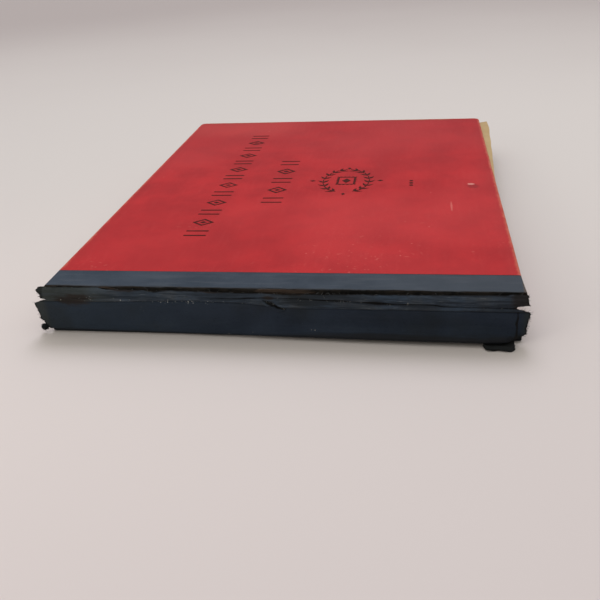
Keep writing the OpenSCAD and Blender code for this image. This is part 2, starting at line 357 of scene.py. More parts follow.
# ---------------------------------------------------------------- materials
def red_cloth():
    """Faded red bookcloth, rubbed pale along its edges and darker towards the fore-edge."""
    s = Shader("red_bookcloth", roughness=0.82)
    s.surface.inputs["Specular IOR Level"].default_value = 0.12
    mottle = s.noise(38, 4.0, 0.6)
    broad = s.noise(9, 2.0, 0.5)
    grain = s.noise(1500, 2.0, 0.6)
    streak = s.noise(420, 2.0, 0.5, stretch=(1.0, 0.12, 1.0))
    color = s.mix(s.band(mottle, 0.3, 0.72), (0.385, 0.017, 0.021), (0.50, 0.025, 0.029))
    color = s.coat(color, s.band(broad, 0.45, 0.7), 0.45, (0.56, 0.050, 0.052))
    # darker over the far half, most of all at the fore-edge
    far = s.band(s.uneven(s.y, broad, 0.12), -0.02, FORE_Y)
    color = s.coat(color, far, 0.36, (0.34, 0.022, 0.028))
    near = s.times(s.band(s.y, -0.030, -0.115), s.band(s.x, 0.04, -0.05))
    color = s.coat(color, near, 0.30, (0.36, 0.021, 0.024))
    color = s.coat(color, s.band(streak, 0.5, 0.75), 0.06, (0.60, 0.09, 0.085))
    color = s.coat(color, s.band(grain, 0.45, 0.8), 0.22, (0.27, 0.018, 0.022))
    pale = s.times(s.band(s.y, FORE_Y - 0.055, FORE_Y - 0.020), s.band(s.x, -0.01, -0.05))
    color = s.coat(color, pale, 0.35, (0.56, 0.075, 0.068))
    inwards = s.edge_distance(HEAD_X, TAIL_X, BOARD_Y - 1, FORE_Y)
    ragged = s.uneven(inwards, s.noise(260, 4.0, 0.7), 0.004)
    patches = s.plus(s.times(s.band(s.noise(130, 3.0), 0.35, 0.60), 0.55), 0.40)
    rubbed = s.times(s.band(ragged, 0.0020, 0.0003), patches)
    color = s.coat(color, rubbed, 0.80, (0.66, 0.20, 0.13))
    corner_x = s.least(s.minus(s.x, HEAD_X), s.minus(TAIL_X, s.x))
    corner = s.band(s.plus(corner_x, s.minus(FORE_Y, s.y)), 0.012, 0.004)
    patchy = s.plus(s.band(s.noise(95, 4.0, 0.7), 0.50, 0.60), s.times(corner, 0.8), clamp=True)
    bare = s.times(s.band(ragged, 0.0009, -0.0002), patchy)
    long_fibre = s.band(s.noise(900, 3.0, 0.7, stretch=(0.3, 0.3, 2.0)), 0.35, 0.65)
    fibres = s.mix(long_fibre, (0.30, 0.17, 0.09), (0.56, 0.36, 0.20))
    color = s.coat(color, bare, 0.85, fibres)
    fore = s.uneven(s.minus(FORE_Y, s.y), s.noise(120, 4.0, 0.7), 0.006)
    fore = s.times(s.band(fore, 0.0030, 0.0008), s.band(s.noise(14, 1.0), 0.40, 0.52))
    color = s.coat(color, fore, 0.75, (0.36, 0.19, 0.09))
    halo = s.band(ragged, 0.009, 0.0015)
    color = s.coat(color, halo, 0.16, (0.26, 0.03, 0.03))
    specks = s.times(s.spots(95, 0.045), s.band(s.noise(23, 1.0), 0.5, 0.62))
    color = s.coat(color, specks, 0.5, (0.72, 0.30, 0.25))
    scuff = s.times(s.band(s.noise(330, 3.0, 0.7), 0.60, 0.70), s.band(s.noise(24, 2.0), 0.52, 0.64))
    scuff = s.times(scuff, s.band(s.y, -0.04, -0.10))
    color = s.coat(color, scuff, 0.26, (0.72, 0.22, 0.18))
    dots = s.times(s.spots(150, 0.05, 0.31), s.band(s.noise(17, 1.0), 0.55, 0.66))
    color = s.coat(color, dots, 0.6, (0.12, 0.02, 0.02))
    front = s.band(s.z, 0.010, 0.012)
    bruise = s.times(front, s.blob(HEAD_X + 0.2025, BOARD_Y + 0.134, 0.0042, 0.0046))
    color = s.coat(color, bruise, 0.5, (0.20, 0.016, 0.018))
    nick = s.times(front, s.blob(HEAD_X + 0.2015, BOARD_Y + 0.1375, 0.0024, 0.0017))
    color = s.coat(color, nick, 0.65, (0.80, 0.38, 0.32))
    scratch = s.times(front, s.blob(HEAD_X + 0.189, BOARD_Y + 0.101, 0.0007, 0.0085))
    color = s.coat(color, scratch, 0.35, (0.72, 0.27, 0.22))
    height = s.total(s.times(s.weave(0.00055), 0.35), s.times(grain, 0.9), s.times(mottle, 0.8),
                     s.times(streak, 0.5))
    rough = s.plus(s.times(mottle, 0.12), 0.74)
    return s.finish(color, height, 0.00006, rough)


def blue_cloth():
    """Slate-blue bookcloth on the boards, faded on its face and brown where it is worn through."""
    s = Shader("slate_bookcloth", roughness=0.88)
    s.surface.inputs["Specular IOR Level"].default_value = 0.14
    mottle = s.noise(55, 4.0, 0.6)
    grain = s.noise(1400, 2.0, 0.6)
    streak = s.noise(300, 2.0, 0.5, stretch=(0.15, 1.0, 1.0))
    color = s.mix(s.band(mottle, 0.3, 0.7), (0.030, 0.043, 0.062), (0.048, 0.063, 0.086))
    color = s.coat(color, s.band(streak, 0.48, 0.72), 0.30, (0.085, 0.098, 0.118))
    color = s.coat(color, s.band(grain, 0.5, 0.8), 0.30, (0.030, 0.040, 0.052))
    from_tear = s.minus(s.y, BOARD_Y)
    ragged = s.uneven(from_tear, s.noise(230, 4.0, 0.7), 0.0022)
    color = s.coat(color, s.band(ragged, 0.0016, 0.0003), 0.65, (0.030, 0.027, 0.024))
    ends = s.least(s.minus(s.x, HEAD_X), s.minus(TAIL_X, s.x))
    ragged_end = s.uneven(ends, s.noise(310, 4.0, 0.7), 0.0026)
    thin = s.band(s.noise(140, 3.0, 0.65), 0.42, 0.62)
    color = s.mix(s.times(s.band(ragged_end, 0.0010, 0.0001), thin), color, (0.13, 0.088, 0.058))
    color = s.coat(color, s.band(s.x, -0.03, TAIL_X), 0.45, (0.068, 0.076, 0.088))
    # painted shadow: a thin dark line along the strip's edge at the red cloth, stronger towards the tail
    seam_shadow = s.band(s.minus(STRIP_Y, s.y), 0.0009, 0.0001)
    seam_shadow = s.times(seam_shadow, s.plus(s.times(s.band(s.x, 0.045, 0.080), 0.40), 0.35))
    color = s.mix(seam_shadow, color, (0.030, 0.024, 0.028))
    height = s.total(s.times(s.weave(0.0005), 0.45), s.times(grain, 0.9), s.times(streak, 0.7))
    return s.finish(color, height, 0.00006, s.plus(s.times(mottle, 0.1), 0.8))


def spine_navy():
    """Dark navy spine cloth: grey-blue where rubbed, near-black painted shade in its splits, slit, crease and
    torn edges, brown where worn through.
    """
    s = Shader("navy_bookcloth", roughness=0.85)
    s.surface.inputs["Specular IOR Level"].default_value = 0.14
    split, rubbed, brown, grime = (s.add("ShaderNodeAttribute", attribute_name=n).outputs["Fac"]
                                   for n in ("split", "rubbed", "brown", "grime"))
    mottle = s.noise(48, 4.0, 0.6)
    grain = s.noise(1300, 2.0, 0.6)
    streak = s.noise(560, 3.0, 0.6, stretch=(0.075, 1.0, 1.0))
    fine = s.noise(1600, 2.0, 0.6, stretch=(0.14, 1.0, 1.0))
    color = s.mix(s.band(mottle, 0.3, 0.7), (0.0165, 0.0240, 0.0390), (0.0240, 0.0340, 0.0530))
    color = s.coat(color, s.band(streak, 0.52, 0.78), 0.16, (0.045, 0.055, 0.068))
    color = s.coat(color, s.band(s.x, 0.0, HEAD_X), 0.5, (0.028, 0.044, 0.064))
    dirt = s.band(s.noise(21, 3.0, 0.6), 0.5, 0.68)
    color = s.coat(color, dirt, 0.5, (0.018, 0.020, 0.018))
    worn = s.times(rubbed, s.band(streak, 0.40, 0.60))
    color = s.coat(color, rubbed, 0.40, (0.024, 0.028, 0.031))
    worn = s.times(worn, s.band(s.noise(75, 3.0, 0.6, stretch=(0.5, 1.0, 1.0)), 0.32, 0.60))
    pale = s.mix(s.band(mottle, 0.4, 0.6), (0.072, 0.084, 0.100), (0.052, 0.078, 0.118))
    color = s.coat(color, worn, 0.75, pale)
    thread = s.times(worn, s.band(fine, 0.60, 0.74))
    color = s.coat(color, thread, 0.5, (0.17, 0.19, 0.20))
    green = s.mix(s.band(mottle, 0.35, 0.65), (0.025, 0.030, 0.025), (0.048, 0.052, 0.045))
    color = s.coat(color, grime, 0.66, green)
    color = s.coat(color, s.band(grain, 0.55, 0.8), 0.40, (0.004, 0.006, 0.009))
    stain = s.mix(s.band(streak, 0.3, 0.7), (0.017, 0.013, 0.011), (0.034, 0.024, 0.020))
    color = s.coat(color, brown, 0.85, stain)
    area = s.times(s.band(s.z, 0.0170, 0.0176), s.band(s.z, 0.0196, 0.0190))
    area = s.times(area, s.times(s.band(s.x, -0.094, -0.080), s.band(s.x, -0.020, -0.034)))
    lint = s.times(area, s.times(s.spots(900, 0.26, 0.17), s.band(s.noise(260, 1.0), 0.50, 0.58)))
    color = s.coat(color, lint, 0.9, (0.55, 0.55, 0.52))
    flecks = s.times(s.spots(330, 0.10, 0.17), s.band(s.noise(70, 1.0), 0.62, 0.68))
    color = s.coat(color, flecks, 0.75, (0.40, 0.37, 0.32))
    # painted shade: the split mark turns the cloth near-black where its splits, slit, crease, seam gap and
    # torn top would lie in shade
    ragged = s.uneven(split, fine, 0.35)
    color = s.coat(color, s.band(ragged, 0.22, 0.75), 0.92, (0.0042, 0.0036, 0.0032))
    # painted shade: the face darkens towards its foot, from higher up on the tail half, where it turns in
    # under the album
    foot_shade_height = s.minus(s.z, s.times(s.band(s.x, -0.03, 0.04), 0.0036))
    foot = s.band(s.uneven(foot_shade_height, streak, 0.003), 0.0024, 0.0002)
    color = s.coat(color, foot, 0.7, (0.012, 0.011, 0.010))
    height = s.total(s.times(s.weave(0.0005), 0.35), s.times(grain, 0.8), s.times(streak, 1.6),
                     s.times(fine, 0.8))
    return s.finish(color, height, 0.00010, s.plus(s.times(mottle, 0.15), 0.68))


def board_fibre():
    """Raw millboard, brown where bare, and near-black elsewhere as painted shade of the crack it lies in."""
    s = Shader("bare_millboard", on_cad=False, roughness=0.95)
    layers = s.noise(900, 3.0, 0.6, stretch=(0.06, 1.0, 2.6))
    blot = s.noise(85, 4.0, 0.7)
    brown = s.add("ShaderNodeAttribute", attribute_name="brown").outputs["Fac"]
    bare = s.mix(s.band(layers, 0.38, 0.62), (0.026, 0.018, 0.014), (0.088, 0.060, 0.045))
    # painted shade: near-black where the torn edge lies in the crack under the strip
    crack_shade = s.mix(s.band(blot, 0.44, 0.60), (0.0050, 0.0045, 0.0042), (0.020, 0.016, 0.013))
    color = s.mix(brown, crack_shade, bare)
    return s.finish(color, s.total(s.times(layers, 1.5), blot), 0.00014)


def cad_board():
    """Millboard of the covers, seen only where the cloth is gone."""
    s = Shader("millboard", on_cad=True, roughness=0.95)
    layers = s.noise(900, 3.0, 0.6, stretch=(0.06, 0.06, 2.6))
    color = s.mix(s.band(layers, 0.38, 0.62), (0.035, 0.023, 0.016), (0.12, 0.080, 0.05))
    return s.finish(color, layers, 0.0001)


def paper(name, light, dark, brown, area, on_cad=False, tone_reach=0.0, frames=False, foxing=0.5):
    """Aged paper, foxed and browned inwards from the edges of area (low x, high x, low y, high y)."""
    s = Shader(name, on_cad=on_cad, roughness=0.9)
    cloud = s.noise(16, 4.0, 0.55)
    fibre = s.noise(1100, 3.0, 0.65)
    color = s.mix(s.band(cloud, 0.3, 0.7), dark, light)
    if tone_reach:
        tone = s.add("ShaderNodeAttribute", attribute_name="tone").outputs["Fac"]
        color = s.mix(s.times(tone, tone_reach), color, brown)
    inwards = s.edge_distance(*area)
    ragged = s.uneven(inwards, s.noise(70, 3.0), 0.012)
    color = s.coat(color, s.band(ragged, 0.016, -0.002), 0.75, brown)
    spot = s.times(s.spots(75, 0.16, 0.13), s.band(s.noise(13, 1.0), 0.50, 0.64))
    color = s.mix(s.times(spot, foxing), color, tuple(0.55 * c for c in brown))
    if frames:
        color = s.coat(color, printed_frames(s, area), 0.8, (0.06, 0.045, 0.035))
    color = s.coat(color, s.band(fibre, 0.5, 0.8), 0.10, brown)
    return s.finish(color, s.total(fibre, s.times(cloud, 2.0)), 0.00005)


def printed_frames(s, area):
    """Ink of a printed album page: a rule round it and rows of empty stamp frames."""
    low_x, high_x, low_y, high_y = area
    margin, column, row = 0.016, 0.0352, 0.0405
    line = 0.00030

    def rule(distance, width=line):
        return s.math("LESS_THAN", s.math("ABSOLUTE", distance), width)

    inwards = s.edge_distance(low_x, high_x, low_y + 0.006, high_y)
    ink = s.most(rule(s.minus(inwards, margin * 0.62)), rule(s.minus(inwards, margin * 0.7), line * 0.6))
    cells = []
    for value, start, pitch in ((s.x, low_x + margin + 0.001, column), (s.y, low_y + margin + 0.010, row)):
        cell = s.math("DIVIDE", s.minus(value, start), pitch)
        share = s.minus(s.math("FRACT", cell), 0.5)
        cells.append(s.times(s.math("ABSOLUTE", share), pitch))
    reach_x = s.minus(cells[0], 0.0128)
    reach_y = s.minus(cells[1], 0.0150)
    box = s.most(reach_x, reach_y)
    inside = s.math("GREATER_THAN", inwards, margin * 1.05)
    ink = s.most(ink, s.times(rule(box), inside))
    dotted = s.math("GREATER_THAN", s.math("SINE", s.times(s.plus(s.x, s.y), 2200.0)), 0.0)
    inner = s.times(rule(s.plus(box, 0.0016), line * 0.6), dotted)
    return s.most(ink, s.times(inner, inside))


def ink():
    """Printing ink on the cloth, thinned where the weave has rubbed through."""
    s = Shader("printing_ink", on_cad=True, roughness=0.8)
    s.surface.inputs["Specular IOR Level"].default_value = 0.05
    rub = s.noise(420, 4.0, 0.7)
    broad = s.noise(40, 2.0)
    color = s.mix(s.band(rub, 0.52, 0.74), (0.058, 0.013, 0.011), (0.15, 0.020, 0.017))
    color = s.coat(color, s.band(broad, 0.5, 0.75), 0.4, (0.20, 0.024, 0.022))
    return s.finish(color, rub, 0.00003)


def wire():
    """Dulled staple wire, rusting."""
    s = Shader("staple_wire", on_cad=True, roughness=0.45)
    s.surface.inputs["Metallic"].default_value = 0.8
    rust = s.noise(600, 4.0, 0.65)
    color = s.mix(s.band(rust, 0.45, 0.6), (0.42, 0.40, 0.37), (0.19, 0.075, 0.03))
    return s.finish(color, rust, 0.00004, s.band(rust, 0.2, 0.9))


def gauze():
    """Open binder's gauze, stiff with glue."""
    s = Shader("gauze", on_cad=True, roughness=0.9)
    threads = s.weave(0.0012)
    color = s.mix(s.band(threads, -0.2, 0.4), (0.26, 0.19, 0.11), (0.60, 0.53, 0.38))
    return s.finish(color, threads, 0.0002)


def plain_fibre(name, light, dark, on_cad=True):
    """Brown card or lining paper with long fibres."""
    s = Shader(name, on_cad=on_cad, roughness=0.92)
    fibre = s.noise(700, 4.0, 0.65, stretch=(0.3, 1.0, 1.0))
    color = s.mix(s.band(fibre, 0.35, 0.65), dark, light)
    return s.finish(color, fibre, 0.00008)


def thread_fibre():
    """Loose thread, nearly black, or pale where its tone is high."""
    s = Shader("loose_thread", roughness=0.9)
    tone = s.add("ShaderNodeAttribute", attribute_name="tone").outputs["Fac"]
    twist = s.noise(2500, 2.0)
    color = s.mix(tone, (0.0075, 0.0080, 0.0095), (0.42, 0.43, 0.42))
    return s.finish(color, twist, 0.00005)


sheet_area = (title_low.x, title_high.x, title_low.y, title_high.y)
RED = red_cloth()
SLATE = blue_cloth()
NAVY = spine_navy()
FIBRE = board_fibre()
BOARD = cad_board()
LEAF = paper("album_leaf", (0.66, 0.55, 0.37), (0.58, 0.46, 0.29), (0.43, 0.29, 0.15), sheet_area,
             tone_reach=0.6, frames=True)
FLY = paper("browned_flyleaf", (0.60, 0.46, 0.24), (0.52, 0.38, 0.19), (0.36, 0.22, 0.10),
            (flyleaf_low.x, flyleaf_high.x + 0.004, flyleaf_low.y, flyleaf_high.y + 0.004), tone_reach=0.3)
PASTE = paper("pastedown", (0.64, 0.52, 0.34), (0.55, 0.42, 0.26), (0.34, 0.20, 0.09),
              (paste_low.x, paste_high.x, paste_low.y, paste_high.y), on_cad=True)
GUARD = plain_fibre("guard_paper", (0.42, 0.30, 0.17), (0.27, 0.18, 0.10), on_cad=False)
CARD = plain_fibre("spine_card", (0.14, 0.09, 0.055), (0.06, 0.038, 0.025))
KRAFT = plain_fibre("kraft_lining", (0.32, 0.19, 0.09), (0.20, 0.11, 0.05))
HINGE = plain_fibre("hinge_linen", (0.46, 0.36, 0.22), (0.34, 0.24, 0.13), on_cad=False)
GAUZE = gauze()
INK = ink()
WIRE = wire()
THREAD = thread_fibre()

CAD_FINISHES = {
    "front_board": BOARD, "back_board": BOARD,
    "front_pastedown": PASTE, "back_pastedown": PASTE,
    "title_row_long": INK, "title_row_short": INK, "stamp_emblem": INK, "small_mark": INK,
    "spine_card": CARD, "spine_gauze": GAUZE, "spine_lining": KRAFT,
    "staple_head": WIRE, "staple_middle": WIRE, "staple_tail": WIRE,
}
for node_name, finish_material in CAD_FINISHES.items():
    node_object = frame["nodes"][node_name]
    for material_slot in node_object.material_slots:
        material_slot.material = finish_material


# ---------------------------------------------------------------- cloth on the covers
SIDE_STEPS = 44
FORE_STEPS = 60


def cover_outline(inset):
    """Points round the cover's three cloth edges, from the strip at the head to the strip at the tail."""
    centre = max(CORNER_R, inset)
    radius = centre - inset
    head_x, tail_x, centre_y = HEAD_X + centre, TAIL_X - centre, FORE_Y - centre
    quarter = np.linspace(0, math.pi / 2, 9)
    points = [(HEAD_X + inset, y) for y in np.linspace(STRIP_Y, centre_y, SIDE_STEPS, endpoint=False)]
    points += [(head_x - radius * math.cos(a), centre_y + radius * math.sin(a)) for a in quarter]
    points += [(x, FORE_Y - inset) for x in np.linspace(head_x, tail_x, FORE_STEPS, endpoint=False)[1:]]
    points += [(tail_x + radius * math.sin(a), centre_y + radius * math.cos(a)) for a in quarter]
    points += [(TAIL_X - inset, y) for y in np.linspace(centre_y, STRIP_Y, SIDE_STEPS + 1)[1:]]
    return np.array(points)


def edge_profile():
    """Places (inset, depth below the outer face) from the turned-in edge, round the board, to the face."""
    thickness = TOP_Z - (INNER_Z + (paste_high.z - paste_low.z) * 0.4)
    rounding = 0.0007
    profile = [(TURN_IN, thickness), (TURN_IN * 0.5, thickness), (rounding, thickness)]
    profile += [(rounding * (1 - math.sin(a)), thickness - rounding * (1 - math.cos(a)))
                for a in (0.5, 1.05, 1.57)]
    profile += [(rounding * (1 - math.cos(a)), rounding * (1 - math.sin(a))) for a in (0.0, 0.5, 1.05, 1.57)]
    profile += [(0.003, 0.0), (TURN_IN, 0.0)]
    return profile


def side_cloth(name, to_place):
    """Red cloth: a smooth face, rounded edges and turned-in margins. to_place maps depth to z."""
    ragged = Noise(11)
    rings = []
    for inset, depth in edge_profile():
        ring = cover_outline(inset)
        bump = 0.00005 * ragged(np.arange(len(ring)) * 0.45, depth * 900) * (0.0002 < depth < 0.0026)
        rings.append(np.column_stack([ring, np.broadcast_to(to_place(depth + bump), len(ring))]))
    points = np.array(rings)
    nu, nv, _ = points.shape
    index = np.arange(nu * nv).reshape(nu, nv)
    # the face inside the last ring, on a grid that meets the ring's points
    x = np.linspace(HEAD_X + TURN_IN, TAIL_X - TURN_IN, FORE_STEPS + 1)
    y = np.linspace(STRIP_Y, FORE_Y - TURN_IN, SIDE_STEPS + 1)
    gx, gy = np.meshgrid(x, y, indexing="ij")
    gz = np.broadcast_to(to_place(0.0), gx.shape)
    verts = np.concatenate([points.reshape(-1, 3), np.stack([gx, gy, gz], 2).reshape(-1, 3)])
    grid = np.arange(gx.size).reshape(gx.shape) + nu * nv
    faces = np.concatenate([grid_faces(index), grid_faces(grid)])
    return make_object(name, verts, faces, RED, sharp=1.2, merge=True)


def front_z(depth):
    """Height of a depth below the front cover's outer face."""
    return TOP_Z - depth


def back_z(depth):
    """Height of a depth inside the back cover's outer face."""
    return depth


front_side = side_cloth("front_side_cloth", front_z)
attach(front_side, "front_cover")
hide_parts("front_cover_cloth")

back_side = side_cloth("back_side_cloth", back_z)
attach(back_side, "back_cover")
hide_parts("back_cover_cloth")


def strip_cloth(name, to_place, seed, torn):
    """Slate strip beside the spine, round the head and tail edges, its spine edge torn or tucked in."""
    tear = Noise(seed)
    across = []
    for inset, depth in edge_profile():
        across.append((HEAD_X + inset, depth))
    middle = [(x, 0.0) for x in np.linspace(HEAD_X + TURN_IN + 0.0006, TAIL_X - TURN_IN - 0.0006, 240)]
    across += middle + [(HEAD_X + TAIL_X - x, depth) for x, depth in reversed(across)]
    across = np.array(across)
    steps = np.array([0, 0.02, 0.06, 0.14, 0.3, 0.5, 0.7, 0.86, 0.95, 1.0])
    x = across[:, 0][:, None]
    depth = across[:, 1][:, None]
    if torn:
        bites = 0.0005 * np.clip(tear(x * 90, 5.0, 2) - 0.35, 0, 1)
        start = BOARD_Y + 0.0002 + 0.00045 * tear(x * 260, 0.0, 4) + bites
        curl = 0.00030 * np.clip(tear(x * 140, 9.0, 2), -0.2, 1)
    else:
        start = BOARD_Y + 0.0001 + 0.0 * x
        curl = 0.0 * x
    y = start + (STRIP_Y - 0.00005 - start) * steps[None, :]
    lift = curl * np.exp(-steps[None, :] / 0.05) * (depth < 1e-6)
    z = to_place(np.broadcast_to(depth, y.shape) - lift + 0.00004)
    flare = 0.0006 * smoothstep(TAIL_X - 0.0030, TAIL_X, x) * (1 - steps[None, :]) ** 1.5 * torn
    points = np.stack([x + flare, y, z], 2)
    verts, faces = shell(points, CLOTH_T * 0.75, offset=-1.0 if to_place is front_z else 0.0)
    return make_object(name, verts, faces, SLATE, sharp=1.2)


front_strip = strip_cloth("front_strip_cloth", front_z, 21, True)
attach(front_strip, "front_cover")
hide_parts("front_spine_strip")

back_strip = strip_cloth("back_strip_cloth", back_z, 22, False)
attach(back_strip, "back_cover")
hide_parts("back_spine_strip")


def back_joint_cloth():
    """The spine cloth's turn round the back board's spine edge, up to the inside of the board."""
    edge = [(0.0030, 0.00002), (0.0006, 0.00002), (0.0002, 0.0001), (0.00002, 0.0004), (0.0, 0.0012),
            (0.00002, 0.0021), (0.0002, 0.0025)]
    profile = np.array(edge)
    x = np.linspace(HEAD_X + 0.0004, TAIL_X - 0.0004, 120)[:, None]
    uneven = 0.00005 * Noise(23)(x * 200, profile[:, 1][None, :] * 900, 2)
    y = BOARD_Y - 0.00016 + profile[:, 0][None, :] + uneven
    points = np.stack(np.broadcast_arrays(x, y, profile[:, 1][None, :]), 2)
    verts, faces = shell(points, 0.0002, offset=-1.0)
    marks = {"split": 0.25, "rubbed": 0.0, "brown": 0.0, "grime": 0.0}
    return make_object("back_joint_cloth", verts, faces, NAVY, sharp=1.2, marks=marks)


joint_cloth = back_joint_cloth()
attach(joint_cloth, "back_cover")


# ---------------------------------------------------------------- the front board's torn edge
def board_edge_fibres():
    """Delaminated edge of the front board where the cloth has split, near-black with painted shade except in
    brown patches.
    """
    rough = Noise(31)
    x = np.linspace(HEAD_X + 0.0006, TAIL_X - 0.0006, 420)[:, None]
    z = np.linspace(INNER_Z + 0.0003, TOP_Z - CLOTH_T, 9)[None, :]
    swell = np.sin(np.linspace(0, math.pi, 9))[None, :] ** 0.5
    y = BOARD_Y + 0.00015 - swell * (0.00020 + 0.00026 * rough(x * 380, z * 5200, 4))
    points = np.stack(np.broadcast_arrays(x, y, z), 2)
    verts, faces = shell(points, 0.0006, offset=0.0)
    stretch = rough(x * 34, 11.0, 2) + 0.35 * rough(x * 260, z * 1500, 3)
    brown = smoothstep(0.12, 0.50, stretch) * smoothstep(0.072, 0.020, x) * smoothstep(-0.094, -0.078, x)
    marks = {"brown": np.tile(brown.ravel(), 2)}
    return make_object("front_board_torn_edge", verts, faces, FIBRE, sharp=1.0, marks=marks)


torn_edge = board_edge_fibres()
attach(torn_edge, "front_cover")


# ---------------------------------------------------------------- spine cloth
FOOT_Z = 0.0026  # where the spine's face begins to turn in under the album
SPINE_CLOTH_T = 0.00036
SEAM_X = TAIL_X - 0.0030  # where the tail's lower tab has come away
KNOT_Z = 0.0033
SLIT_X = -0.0022  # the middle of the slanting slit
SLIT_Z = 0.0172
SLIT_SLOPE = -0.44
spine_noise = Noise(51)


def by_place(x, *points):
    """Straight-line value along the spine through (x, value) points in millimetres."""
    places = np.array(points) * MM
    return np.interp(x, places[:, 0], places[:, 1])


def torn_top(x):
    """Height of the torn upper edge of the spine cloth."""
    level = by_place(x, (-111, 23.5), (-84, 23.5), (-78, 22.9), (-62, 23.0), (-57, 22.3), (-51, 22.9),
                     (-40, 22.9), (-10, 22.5), (2, 22.3), (20, 22.5), (58, 22.7), (80, 23.0), (97, 23.1),
                     (100, 23.5), (105, 23.5))
    return level + 0.00022 * spine_noise(x * 75, 6.0, 3) + 0.00016 * spine_noise(x * 430, 2.0, 3)


def crease_height(x):
    """Height of the fold where the rubbed band over the joint begins."""
    level = by_place(x, (-111, 17.0), (-90, 17.4), (-68, 17.9), (-40, 18.2), (-17, 18.0), (-6, 17.0),
                     (3, 15.9), (35, 15.7), (80, 15.5), (108, 15.3))
    return level + 0.0004 * spine_noise(x * 26, 1.0, 3)


def crack_height(x):
    """Height of the lengthwise split in the rubbed band."""
    level = by_place(x, (-40, 20.0), (-22, 20.2), (-8, 20.6), (8, 20.6), (27, 20.2), (38, 19.6),
                     (49, 18.9), (67, 18.9), (72, 18.1), (108, 17.8))
    return level + 0.00028 * spine_noise(x * 85, 13.0, 3)


def lengthwise_split(x, z):
    """Height above the lengthwise split, and how far it stands open there."""
    open_part = smoothstep(-0.034, -0.022, x) * smoothstep(-0.75, -0.35, spine_noise(x * 48, 20.0, 2))
    return z - crack_height(x), open_part


def slit_distance(x, z):
    """Distance from the slanting slit near the middle, and how far along it: 1 inside, 0 past its ends."""
    line = SLIT_Z + SLIT_SLOPE * (x - SLIT_X) + 0.00025 * spine_noise(x * 500, 3.0, 2)
    along = np.sin(math.pi * np.clip((x + 0.0078) / 0.0108, 0, 1)) ** 0.6
    width = 0.25 + 0.75 * along
    return (z - line) / math.sqrt(1 + SLIT_SLOPE * SLIT_SLOPE) / width, along


def face_lean(x, z):
    """How far the face leans inwards at a height; its torn top falls in, most at the head."""
    heights = np.array([0, 1.6, 9, 16.5, 20.9, 22.3, 23.5]) * MM
    leans = np.array([0, -0.1, -0.4, -0.95, -0.62, -0.1, 1.0]) * MM
    lean = np.interp(z, heights, leans)
    return lean + 0.0006 * smoothstep(0.0216, 0.0234, z) * smoothstep(-0.078, -0.086, x)


def foot_lift(x, z):
    """How far the foot has risen off the table, most at the head."""
    lift = by_place(x, (-110, 1.4), (-92, 1.3), (-66, 0.9), (-48, 0.4), (-30, 0.1), (0, 0.3), (60, 0.5),
                    (105, 0.7))
    return lift * smoothstep(0.0065, 0.0006, z)


HEAD_OUTLINE = ((0, -1.2), (0.6, -0.5), (0.9, 0.4), (2.3, 0.7), (3.6, 1.3), (4.4, 1.5), (5.6, 2.1),
                (6.8, 2.7), (7.1, 3.8), (9.5, 3.7), (12.7, 4.0), (16.2, 4.6), (16.5, 3.6), (17.1, 1.8),
                (17.6, 0.8), (18.0, -0.6), (18.4, -1.3), (18.6, 1.2), (19.4, 1.6), (20.4, 1.3),
                (21.1, 1.7), (21.4, 2.7), (22.4, 3.1), (23.0, 2.8), (23.5, 1.4))
TAIL_OUTLINE = ((0, -6), (0.8, -5), (1.5, -4.0), (2.1, -3.6), (2.5, -1.4), (2.9, -1.2), (3.3, -1.9),
                (3.5, -0.6), (4.0, 0.3), (4.7, 1.4), (6.0, 1.2), (8.9, 1.2), (12.0, 1.6), (14.7, 2.2),
                (15.8, 2.3), (16.1, 1.2), (16.5, -0.2), (16.8, -1.0), (17.0, -2.5), (17.2, -3.6),
                (18.2, -4.1), (18.7, -3.2), (18.9, -2.9), (19.0, 1.0), (19.3, 1.5), (20.6, 1.0),
                (21.6, 0.8), (22.6, 1.0), (23.2, 0.7), (23.6, -0.6))
# brown stains: place along the spine, height, reach along the spine and reach up it
STAINS = ((-0.0955, 0.0180, 0.0105, 0.0031), (-0.0045, 0.0207, 0.0034, 0.0009),
          (-0.070, 0.0232, 0.0100, 0.0010), (-0.030, 0.0228, 0.0060, 0.0007),
          (0.0075, 0.0224, 0.0050, 0.0006))


def spine_stains(x, z):
    """Brown stains with ragged edges, 1 in their middles."""
    brown = 0 * z
    for place, height, reach, tall in STAINS:
        blot = 1 - np.abs((x - place) / reach) ** 1.6 - np.abs((z - height) / tall) ** 1.6
        ragged = 0.55 * spine_noise(x * 190, z * 500, 3) + 0.3 * spine_noise(x * 700, z * 1600, 2)
        brown = np.maximum(brown, smoothstep(-0.25, 0.6, blot + ragged))
    return brown


